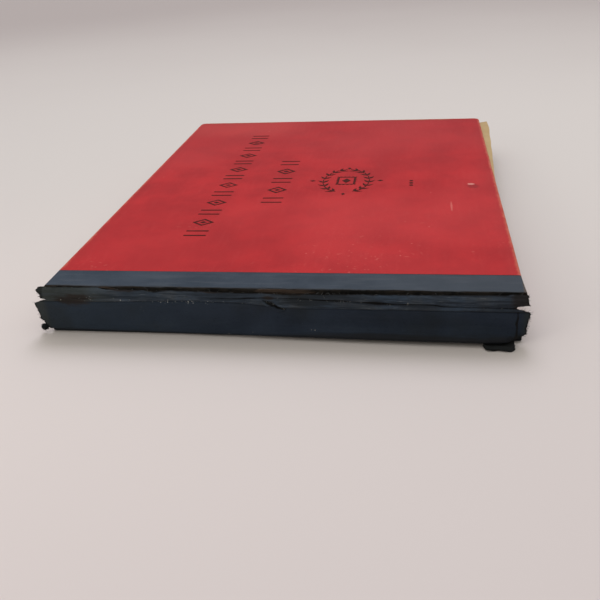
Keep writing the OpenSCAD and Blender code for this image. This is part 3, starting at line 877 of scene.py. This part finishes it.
def spine_surface():
    """Outer surface of the spine cloth as a grid of points, and its marks: split, rubbed, brown and grime."""
    columns = 600
    u = np.linspace(0, 1, columns)[:, None]
    band = np.linspace(0, 1, 28)[None, :-1]
    lower = np.concatenate([np.linspace(0, 0.18, 12), np.linspace(0.18, 1, 20)[1:]])[None, :]
    foot = [(1.75 - 1.75 * math.cos(a), 2.5 - 2.1 * math.sin(a)) for a in (0.25, 0.5, 0.8, 1.1, 1.35, 1.57)]
    under = [(1.8, 0.40), (2.4, 0.39), (3.0, 0.38)]
    low_z = np.array([p[1] * MM for p in foot + under])[None, :]
    face_rows = band.size + lower.size
    tuck = np.array([0.0] * face_rows + [p[0] * MM for p in foot + under])[None, :]
    hidden = np.array([False] * (face_rows + len(foot)) + [True] * len(under))[None, :]
    # ends: the outline is set by height, so a first guess of x is enough to place the torn top
    guess = HEAD_X + (TAIL_X - HEAD_X) * u
    top = torn_top(guess)
    crease = crease_height(guess)
    face = [top + (crease - top) * band, crease + (FOOT_Z - crease) * lower]
    z = np.concatenate(face + [np.broadcast_to(low_z, (columns, low_z.size))], axis=1)
    head = np.array(HEAD_OUTLINE) * MM
    tail = np.array(TAIL_OUTLINE) * MM
    fringe = 0.00042 * spine_noise(z * 2600, 3.0, 3) + 0.00028 * spine_noise(z * 6200, 9.0, 2)
    left = np.where(hidden, HEAD_X + 0.0014, HEAD_X - np.interp(z, head[:, 0], head[:, 1]) + fringe)
    right = np.where(hidden, TAIL_X - 0.0052, TAIL_X + np.interp(z, tail[:, 0], tail[:, 1]) + fringe)
    x = left + (right - left) * u
    # the foot is loose and bulges forward on the tail half
    lift = foot_lift(x, z) * ~hidden
    bulge = by_place(x, (-45, 0), (-20, 0.8), (0, 1.9), (30, 3.1), (60, 3.9), (88, 4.4), (98, 4.0),
                     (101.5, 1.0), (104, 0.2))
    bulge = bulge * bell(z - 0.0026, 0.0030) * smoothstep(0.0, 0.0020, z) * ~hidden
    above = z - crease_height(x)
    rubbed = smoothstep(-0.0003, 0.0005, above)
    lean = face_lean(x, z)
    folds = 0.00026 * spine_noise(x * 42, z * 1500, 2) + 0.00012 * spine_noise(x * 160, z * 3200, 2)
    swing = 0.6 + 0.8 * spine_noise(x * 15, 4.0, 1) ** 2
    ripple = rubbed * folds * swing + 0.00012 * spine_noise(x * 50, z * 260, 3)
    groove = 0.00045 * bell(above, 0.0003) - 0.00030 * bell(above - 0.0009, 0.0005)
    split, open_part = lengthwise_split(x, z)
    step = open_part * (0.00050 * bell(split + 0.00015, 0.00034)
                        - 0.00035 * smoothstep(-0.0001, 0.0003, split))
    apart, along = slit_distance(x, z)
    slit = along * (0.00095 * bell(apart, 0.00055) - 0.0009 * bell(apart + 0.0012, 0.0006))
    past = np.maximum(HEAD_X - x, x - TAIL_X)
    curl = np.clip(past, -0.001, 1) * 0.28 * spine_noise(z * 260 + 9 * (x > 0), 1.5, 2) * (past > -0.001)
    behind = 0.00022 * smoothstep(-0.0002, 0.0003, x - SEAM_X) * smoothstep(0.0172, 0.0158, z)
    y = SPINE_Y + lean + behind + tuck + (~hidden) * (ripple + groove + step + slit + curl) - bulge
    points = np.stack([x, y, z + lift], 2)
    return points, spine_marks(x, z, left, right)


def spine_marks(x, z, left, right):
    """How dark (painted shade in its splits, slit, crease, seam gap and torn top; darker also at its torn
    ends, past the head's top and in a scorched patch), rubbed, brown and grimy the spine cloth is at each
    place.
    """
    above = z - crease_height(x)
    rubbed = smoothstep(-0.0003, 0.0005, above)
    split, open_part = lengthwise_split(x, z)
    apart, along = slit_distance(x, z)
    past = np.maximum(HEAD_X - x, x - TAIL_X)
    width = by_place(x, (-40, 0.42), (32, 0.45), (45, 0.75), (68, 0.75), (78, 0.48))
    width = width * (1 + 0.5 * spine_noise(x * 120, 25.0, 2))
    # painted shade: near-black along the open lengthwise split and the slanting slit
    dark = 1.1 * open_part * bell(split + 0.00010, width)
    dark = np.maximum(dark, 1.5 * along * bell(apart, 0.00085))
    # painted shade along the crease on the tail half
    crease_shade = smoothstep(0.008, 0.030, x) * bell(above - 0.0003, 0.00045)
    dark = np.maximum(dark, 0.75 * crease_shade * smoothstep(-0.3, 0.3, spine_noise(x * 55, 27.0, 2)))
    from_end = np.minimum(x - left, right - x) + 0.0003 * spine_noise(x * 500, z * 900, 2)
    dark = np.maximum(dark, 0.85 * smoothstep(0.00085, 0.00015, from_end))
    # painted shade in the gap where the tail's lower tab has come away
    from_seam = x - SEAM_X - 0.0003 * spine_noise(z * 400, 30.0, 2)
    faded = 0.85 + 0.3 * spine_noise(z * 420, 33.0, 2)
    dark = np.maximum(dark, faded * bell(from_seam, 0.00062) * smoothstep(0.0172, 0.0158, z))
    dark = np.maximum(dark, 0.55 * smoothstep(-0.0012, 0.0006, past) * (x < 0) * (z > 0.0180))
    # painted shade in the crack along the torn top edge
    edge = smoothstep(0.00055, 0.00010, torn_top(x) - z) * rubbed
    dark = np.maximum(dark, 0.75 * edge)
    brown = spine_stains(x, z)
    grime = smoothstep(-0.072, -0.090, x + 0.004 * spine_noise(x * 60, z * 400, 2)) * rubbed
    grime = np.maximum(grime, 0.8 * smoothstep(-0.0020, 0.0012, past))
    from_tail = x - TAIL_X + 0.0012 * spine_noise(x * 300, z * 500, 2)
    scorched = smoothstep(-0.0075, -0.0035, from_tail) * smoothstep(0.0165, 0.0178, z)
    brown = np.maximum(brown, 0.8 * scorched)
    dark = np.maximum(dark, 0.42 * scorched)
    return {"split": dark, "rubbed": rubbed, "brown": brown, "grime": grime}


def spine_piece():
    points, marks = spine_surface()
    verts, faces = shell(points, SPINE_CLOTH_T, offset=-1.0)
    marks = {name: np.tile(np.asarray(values).ravel(), 2) for name, values in marks.items()}
    return make_object("spine_cloth_worn", verts, faces, NAVY, sharp=1.1, marks=marks)


spine = spine_piece()
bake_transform(spine)
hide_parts("spine_cloth", "head_fray", "tail_fray")


def loose_tab():
    """Torn tab at the spine's foot near the tail: down behind the cloth, then forward on the table."""
    rough = Noise(57)
    s = np.linspace(0, 1, 16)[None, :]
    x = np.linspace(0.0887, 0.1018, 30)[:, None]
    root_y = SPINE_Y - np.array([[0.0006, 0.0007, 0.0009]]) + 0 * x
    root_z = np.array([[0.0052, 0.0040, 0.0028]]) + 0 * x
    reach = by_place(x, (88.7, 3.6), (89.3, 6.2), (90.3, 7.2), (92.2, 7.4), (94.5, 7.1), (97.5, 7.7),
                     (100, 7.5), (101.3, 6.3), (101.8, 5.2))
    reach = reach + 0.0004 * rough(x * 700, 1.0, 3)
    y = SPINE_Y - 0.0012 - (reach - 0.0012) * s
    fold = bell(s - 0.62, 0.16) * (0.6 + 0.5 * rough(x * 260, 5.0, 2))
    tip = 0.0006 * smoothstep(0.85, 1.0, s) * (0.5 + rough(x * 330, 8.0, 2))
    z = 0.0005 + 0.0014 * (1 - s) ** 2 + 0.0009 * fold + tip
    y = np.concatenate([root_y, y + 0 * x], axis=1)
    z = np.concatenate([root_z, np.maximum(z, 0.00042)], axis=1)
    s = np.concatenate([np.zeros((1, 3)), s], axis=1)
    points = np.stack([x + 0.0007 * s * rough(s * 5, 2.0, 2), y, z], 2)
    verts, faces = shell(points[::-1], SPINE_CLOTH_T, offset=-1.0)
    # painted shade: the tab is darker towards its root, under the spine's foot; it is also darker at its tip
    dark = 0.34 * smoothstep(0.9, 0.2, s) + 0.5 * smoothstep(0.90, 1.0, s) + 0.12 + 0 * x
    marks = {"split": np.tile(dark[::-1].ravel(), 2), "rubbed": 0.0, "brown": 0.0, "grime": 0.7}
    return make_object("spine_foot_tab", verts, faces, NAVY, sharp=1.1, marks=marks)


tab = loose_tab()
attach(tab, "text_block")


def strands(name, starts, toward, lengths, radius, seed, tones):
    """Short bent threads: each a thin three-sided tube from its start towards a direction."""
    rng = np.random.default_rng(seed)
    parts = []
    for start, way, length, tone in zip(starts, toward, lengths, tones):
        way = np.asarray(way, float) / np.linalg.norm(way)
        bend = rng.normal(0, 1, 3)
        bend = bend - way * bend.dot(way)
        side = np.cross(way, bend)
        side = side / np.linalg.norm(side)
        bend = bend / np.linalg.norm(bend)
        t = np.linspace(0, 1, 6)
        curl = np.outer(t**2 * length * rng.uniform(0.1, 0.6), bend)
        curve = np.asarray(start) + np.outer(t * length, way) + curl
        curve = curve + np.outer(np.sin(t * 5) * length * 0.08, side)
        curve[:, 2] = np.maximum(curve[:, 2], 2 * radius)
        rings = []
        for k in range(3):
            turn = 2 * math.pi * k / 3
            spoke = math.cos(turn) * bend + math.sin(turn) * side
            rings.append(curve + radius * (1 - 0.5 * t[:, None]) * spoke)
        verts = np.stack(rings, 1).reshape(-1, 3)
        faces = []
        for i in range(5):
            for k in range(3):
                a, b = 3 * i + k, 3 * i + (k + 1) % 3
                faces.append((a, b, b + 3, a + 3))
        faces += [(0, 1, 2), (17, 16, 15)]
        parts.append((verts, faces, tone))
    verts, faces, vertex_tones = join_parts(parts)
    return make_object(name, verts, faces, THREAD, sharp=3.0, tones=vertex_tones)


def spine_threads():
    """Threads standing out of the spine cloth: at its torn ends and top, its rubbed band and splits."""
    rng = np.random.default_rng(58)
    starts, toward, lengths, tones = [], [], [], []

    def add(start, way, length, tone):
        starts.append(start)
        toward.append(way)
        lengths.append(length)
        tones.append(tone)

    for outline, edge_x, side in ((HEAD_OUTLINE, HEAD_X, -1), (TAIL_OUTLINE, TAIL_X, 1)):
        table = np.array(outline) * MM
        for z in rng.uniform(0.0022, 0.0226, 110):
            out = np.interp(z, table[:, 0], table[:, 1])
            x = edge_x + side * (out - 0.0004)
            start = (x, SPINE_Y + face_lean(x, z) + rng.uniform(0.0, 0.0004), z + foot_lift(x, z))
            way = (side * rng.uniform(0.4, 1.2), rng.normal(0, 0.35), rng.normal(0, 0.8))
            add(start, way, rng.uniform(0.0005, 0.0016), rng.uniform(0, 0.12))
    # a curled knot of fray at the head end, near the foot
    for turn in rng.uniform(0, 2 * math.pi, 220):
        reach = rng.uniform(0, 0.0014)
        x = HEAD_X - 0.0026 + reach * math.cos(turn)
        y = SPINE_Y - 0.0004 + rng.normal(0, 0.0004)
        way = (-math.sin(turn), rng.normal(0, 0.5), math.cos(turn))
        add((x, y, KNOT_Z + reach * math.sin(turn)), way, rng.uniform(0.0008, 0.0018), rng.uniform(0, 0.05))
    for x in rng.uniform(HEAD_X, TAIL_X, 130):
        z = float(torn_top(np.array(x))) - 0.0002
        way = (rng.normal(0, 1.4), rng.normal(0, 0.3), rng.uniform(-0.2, 0.5))
        add((x, SPINE_Y + face_lean(x, z) + 0.0001, z), way, rng.uniform(0.0008, 0.0026),
            rng.uniform(0, 0.35))
    for x in rng.uniform(-0.092, -0.012, 110):
        z = 0.0183 + rng.normal(0, 0.0005)
        way = (rng.normal(0, 1.0), -0.25, rng.normal(0, 0.35))
        add((x, SPINE_Y - 0.00085, z), way, rng.uniform(0.0003, 0.0011), rng.uniform(0.3, 1.0))
    for x in rng.uniform(0.0, 0.100, 60):
        z = float(crack_height(np.array(x))) + rng.normal(0, 0.0005)
        way = (rng.normal(0, 1.2), -0.2, rng.normal(0, 0.3))
        add((x, SPINE_Y - 0.00085, z), way, rng.uniform(0.0004, 0.0014), rng.uniform(0.1, 0.8))
    for i, x in enumerate(rng.uniform(-0.0065, 0.0020, 34)):
        z = SLIT_Z + SLIT_SLOPE * (x - SLIT_X) + 0.0005 + rng.normal(0, 0.0002)
        way = (1.0, rng.normal(-0.2, 0.2), rng.normal(-0.44, 0.25))
        length = rng.uniform(0.0008, 0.0022)
        tone = rng.uniform(0, 0.12) * (6 if i % 4 == 0 else 1)
        add((x, SPINE_Y + face_lean(x, z) - 0.0002, z), way, length, tone)
    return strands("spine_threads", starts, toward, lengths, 0.00009, 59, tones)


def frayed_knot():
    """A rolled lump of frayed cloth hanging at the foot of the spine's head end."""
    rough = Noise(60)
    a = np.linspace(0, math.pi, 13)[None, :]
    turn = np.linspace(0, 2 * math.pi, 22, endpoint=False)[:, None]
    swell = 1 + 0.28 * rough(3 + np.cos(turn) * 1.7 + a, np.sin(turn) * 1.7 + a * 1.3, 3)
    x = HEAD_X - 0.0027 + 0.0017 * swell * np.sin(a) * np.cos(turn)
    z = KNOT_Z + 0.0015 * swell * np.sin(a) * np.sin(turn)
    y = SPINE_Y - 0.0004 + 0.0014 * swell * np.cos(a) + 0 * turn
    verts = np.stack([x, y, z], 2).reshape(-1, 3)
    index = np.arange(x.size).reshape(x.shape)
    faces = []
    for i in range(22):
        k = (i + 1) % 22
        faces += [(index[i, j], index[k, j], index[k, j + 1], index[i, j + 1]) for j in range(12)]
    marks = {"split": 0.62, "rubbed": 0.0, "brown": 0.0, "grime": 0.0}
    return make_object("spine_foot_knot", verts, faces, NAVY, sharp=1.2, merge=True, marks=marks)


knot = frayed_knot()
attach(knot, "text_block")

fibres = spine_threads()
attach(fibres, "text_block")


# ---------------------------------------------------------------- leaves
BLOCK_LOW = BACK_INNER_Z + 0.0001
BLOCK_HIGH = INNER_Z - 0.0001
SHEET_HEAD = title_low.x
SHEET_TAIL = title_high.x
LEAF_Y = title_low.y
STUB_Y = guards_low.y
SHEETS_IN_GROUP = 6
AIR = 0.00005
block_wave = Noise(61)


def block_sag(x, y, z):
    """Waves that all sheets of the block share, fading out under the two covers and at the guards."""
    height = np.clip((z - BLOCK_LOW) / (BLOCK_HIGH - BLOCK_LOW), 0, 1)
    free = smoothstep(STUB_Y, LEAF_Y + 0.06, y)
    room = np.sin(math.pi * height)
    return 0.00075 * room * free * block_wave(x * 11 + 3, y * 9, 2)


def sheet_part(z, thickness, seed, y_start):
    """A thin sheet with slightly uneven edges, lying in the block at height z."""
    rng = np.random.default_rng(seed)
    ragged = Noise(seed + 500)
    nx, ny = 15, 26
    u = np.linspace(0, 1, nx)[:, None]
    v = np.concatenate([np.linspace(0, 0.11, 12), np.linspace(0.11, 1, ny - 11)[1:]])[None, :]
    head = SHEET_HEAD + rng.uniform(0, 0.0007)
    tail = SHEET_TAIL - rng.uniform(0, 0.0007)
    fore = title_high.y - rng.uniform(0, 0.0012)
    skew = rng.uniform(-0.0004, 0.0004)
    x = head + (tail - head) * u + skew * v
    y = y_start + (fore - y_start) * v + 0.00012 * ragged(u * 6, 1.0, 2) * (v > 0.99)
    corner = smoothstep(0.93, 1.0, v) * smoothstep(0.90, 1.0, np.abs(2 * u - 1))
    x = x - np.sign(u - 0.5) * 0.0012 * corner
    y = y - 0.0010 * corner
    x, y = np.broadcast_arrays(x, y)
    height = z + block_sag(x, y, z)
    points = np.stack([x, y, height], 2)
    verts, faces = shell(points, thickness, offset=0.0)
    if grid_normals(points)[3, 3, 2] < 0:
        verts, faces = shell(points[::-1], thickness, offset=0.0)
    return verts, faces, rng.uniform(0, 1)


def leaf_group(index):
    """Six sheets that fill one gathering, from their stubs to the fore-edge."""
    node = "leaves_%02d" % index
    low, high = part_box(node)
    pitch = (high.z - low.z + AIR) / SHEETS_IN_GROUP
    parts = []
    for k in range(SHEETS_IN_GROUP):
        thickness = pitch * 0.62
        z = low.z + k * pitch + 0.15 * pitch
        parts.append(sheet_part(z, thickness, 1000 + 10 * index + k, STUB_Y + 0.0004))
    verts, faces, tones = join_parts(parts)
    piece = make_object(node + "_sheets", verts, faces, LEAF, sharp=0.8, tones=tones)
    body = "leaf_group_%d" % index
    if body in frame["bodies"]:
        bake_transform(piece)
    else:
        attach(piece, "text_block")
    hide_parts(node)
    return piece


for group_index in range(1, 12):
    leaf_group(group_index)

back_fly_low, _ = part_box("back_flyleaf")
sheet_verts, sheet_faces, _ = sheet_part(back_fly_low.z, 0.0002, 71, STUB_Y + 0.0004)
back_fly = make_object("back_flyleaf_sheet", sheet_verts, sheet_faces, FLY, sharp=0.8)
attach(back_fly, "text_block")
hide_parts("back_flyleaf")

sheet_verts, sheet_faces, _ = sheet_part(title_low.z + 0.00004, 0.00018, 72, LEAF_Y - 0.0035)
title_sheet = make_object("title_leaf_sheet", sheet_verts, sheet_faces, LEAF, sharp=0.8)
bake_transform(title_sheet)
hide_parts("title_leaf")


def guard_strips():
    """Narrow stubs between the sheets that pack the sewn edge."""
    parts = []
    low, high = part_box("leaves_11")
    pitch = (high.z - low.z + AIR) / SHEETS_IN_GROUP
    count = int((group_high.z - low.z) / pitch)
    rng = np.random.default_rng(81)
    for k in range(count):
        z = low.z + (k + 0.80) * pitch
        reach = guards_high.y - rng.uniform(0.0, 0.0012)
        x = np.linspace(SHEET_HEAD + rng.uniform(0, 0.0006), SHEET_TAIL - rng.uniform(0, 0.0006), 12)[:, None]
        y = np.linspace(STUB_Y, reach, 4)[None, :]
        x, y = np.broadcast_arrays(x, y)
        points = np.stack([x, y, np.full(x.shape, z)], 2)
        verts, faces = shell(points, pitch * 0.26, offset=0.0)
        parts.append((verts, faces, rng.uniform(0, 1)))
    verts, faces, tones = join_parts(parts)
    return make_object("guard_strips", verts, faces, GUARD, sharp=0.8, tones=tones)


guard_piece = guard_strips()
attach(guard_piece, "text_block")
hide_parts("guards")


def flyleaf_sheet():
    """The loose flyleaf: slipped round, browned, its free corner bent up a little."""
    turn = math.radians(2.8)
    corner = np.array([flyleaf_high.x - 0.0007, flyleaf_high.y])
    along = np.array([-math.sin(turn), -math.cos(turn)])  # down the tail edge, towards the spine
    rough = Noise(91)
    nx, ny = 40, 44
    length = (flyleaf_high.y - flyleaf_low.y) * 0.994
    v = np.linspace(0, 1, ny)[None, :]
    u = np.linspace(0, 1, nx)[:, None]
    tail_x = corner[0] + along[0] * length * v
    tail_y = corner[1] + along[1] * length * v
    width = SHEET_TAIL - SHEET_HEAD
    x = tail_x - width * math.cos(turn) * u
    y = tail_y + width * math.sin(turn) * u * smoothstep(0.0, 0.12, v)
    x = x + 0.0004 * rough(v * 30, 2.0, 3) * (u < 0.001)
    y = y + 0.0004 * rough(u * 30, 5.0, 3) * (v < 0.001)
    nibble = smoothstep(0.93, 1.0, 1 - v) * smoothstep(0.95, 1.0, 1 - u)
    x = x - 0.0016 * nibble
    y = y - 0.0012 * nibble
    outside = np.clip(x - TAIL_X, 0, 1)
    waves = 0.0003 * rough(y * 60, 1.0, 2) * np.clip(outside / 0.004, 0, 1)
    z = flyleaf_low.z + 0.00002 + 22.0 * outside**2 + waves
    x, y, z = np.broadcast_arrays(x, y, z)
    points = np.stack([x, y, z], 2)
    if grid_normals(points)[3, 3, 2] < 0:
        points = points[::-1]
    verts, faces = shell(points, 0.0002, offset=0.0)
    return make_object("loose_flyleaf", verts, faces, FLY, sharp=0.8)


flyleaf = flyleaf_sheet()
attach(flyleaf, "flyleaf")
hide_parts("front_flyleaf")


# ---------------------------------------------------------------- inner hinge
def inner_hinge():
    """Linen that holds the front board, folded over the block's back as when closed."""
    low_leg = [(y, INNER_Z - 0.00022) for y in np.linspace(LEAF_Y - 0.002, SPINE_Y + 0.0024, 10)]
    centre_z = INNER_Z - 0.00013
    turn = np.linspace(0.2, 2.94, 9)
    fold = [(SPINE_Y + 0.0021 - 0.0001 * math.sin(a), centre_z - 0.00009 * math.cos(a)) for a in turn]
    high_leg = [(y, INNER_Z - 0.00004) for y in np.linspace(SPINE_Y + 0.0024, LEAF_Y + 0.004, 12)]
    path = np.array(low_leg + fold + high_leg)
    x = np.linspace(SHEET_HEAD + 0.001, SHEET_TAIL - 0.001, 60)[:, None]
    y = np.broadcast_to(path[:, 0][None, :], (60, len(path)))
    z = np.broadcast_to(path[:, 1][None, :], (60, len(path)))
    points = np.stack([np.broadcast_to(x, y.shape), y, z], 2)
    verts, faces = shell(points, 0.00003, offset=-0.5)
    return make_object("front_inner_hinge", verts, faces, HINGE, sharp=3.0)


hinge = inner_hinge()
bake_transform(hinge)


# ---------------------------------------------------------------- stage, light and camera
def floor():
    """A pale sheet that falls off in brightness behind the album: painted shade standing in for the light
    falling off.
    """
    s = Shader("floor", on_cad=True, roughness=0.9)
    cloud = s.noise(2.2, 3.0, 0.5)
    # painted shade: coated darker far behind the album and out to the sides
    aside = s.times(s.times(s.x, s.x), 0.5)
    far = s.band(s.total(s.y, s.times(cloud, 0.25), aside), 0.30, 1.50)
    color = s.mix(cloud, (0.625, 0.561, 0.544), (0.660, 0.593, 0.576))
    color = s.mix(s.band(s.y, -0.40, 0.15), color, (0.678, 0.634, 0.604))
    color = s.coat(color, far, 0.80, (0.40, 0.345, 0.335))
    material = s.finish(color, cloud, 0.0002)
    mesh = bpy.data.meshes.new("floor")
    size = 8.0
    corners = [(-size, -size, 0), (size, -size, 0), (size, size, 0), (-size, size, 0)]
    mesh.from_pydata(corners, [], [(0, 1, 2, 3)])
    mesh.materials.append(material)
    piece = bpy.data.objects.new("floor", mesh)
    bpy.context.collection.objects.link(piece)


floor()


def sun(name, direction, angle, strength, color):
    """A broad soft light from far away, shining along `direction`."""
    light = bpy.data.lights.new(name, "SUN")
    light.energy = strength
    light.angle = angle
    light.color = color
    lamp = bpy.data.objects.new(name, light)
    lamp.rotation_euler = Vector(direction).to_track_quat("-Z", "Y").to_euler()
    bpy.context.collection.objects.link(lamp)


sun("soft_key", (0.04, -0.80, -1.0), 0.60, 1.13, (0.985, 0.975, 1.12))
sun("overhead_dome", (0.03, -0.36, -1.0), 2.15, 1.50, (1.0, 0.985, 0.945))


def fill():
    """A weak panel low at the front left, which opens up the shadow under the spine's head end."""
    light = bpy.data.lights.new("front_fill", "AREA")
    light.shape = "DISK"
    light.size = 0.30
    light.spread = 1.0
    light.energy = 0.11
    light.color = (1.0, 0.96, 0.88)
    lamp = bpy.data.objects.new("front_fill", light)
    lamp.location = (-0.48, -0.50, 0.26)
    aim = Vector((-0.07, -0.15, 0)) - Vector(lamp.location)
    lamp.rotation_euler = aim.to_track_quat("-Z", "Y").to_euler()
    bpy.context.collection.objects.link(lamp)


fill()

world = bpy.data.worlds.new("studio")
world.use_nodes = True
world.node_tree.nodes["Background"].inputs["Color"].default_value = (1.0, 0.99, 0.91, 1.0)
world.node_tree.nodes["Background"].inputs["Strength"].default_value = 0.22
bpy.context.scene.world = world
bpy.context.scene.view_settings.view_transform = "Standard"


def make_camera():
    """A hand-held close view over the spine, the album turned a little to the left."""
    camera = bpy.data.cameras.new("camera")
    camera.lens = 44.6
    camera.sensor_width = 36.0
    camera.clip_start = 0.01
    tilt, roll, turn = math.radians(62.27), math.radians(3.20), math.radians(8.08)
    holder = bpy.data.objects.new("camera", camera)
    holder.location = (0.0585, -0.4296, 0.1710)
    holder.rotation_euler = (tilt, roll, turn)
    bpy.context.collection.objects.link(holder)
    bpy.context.scene.camera = holder


make_camera()
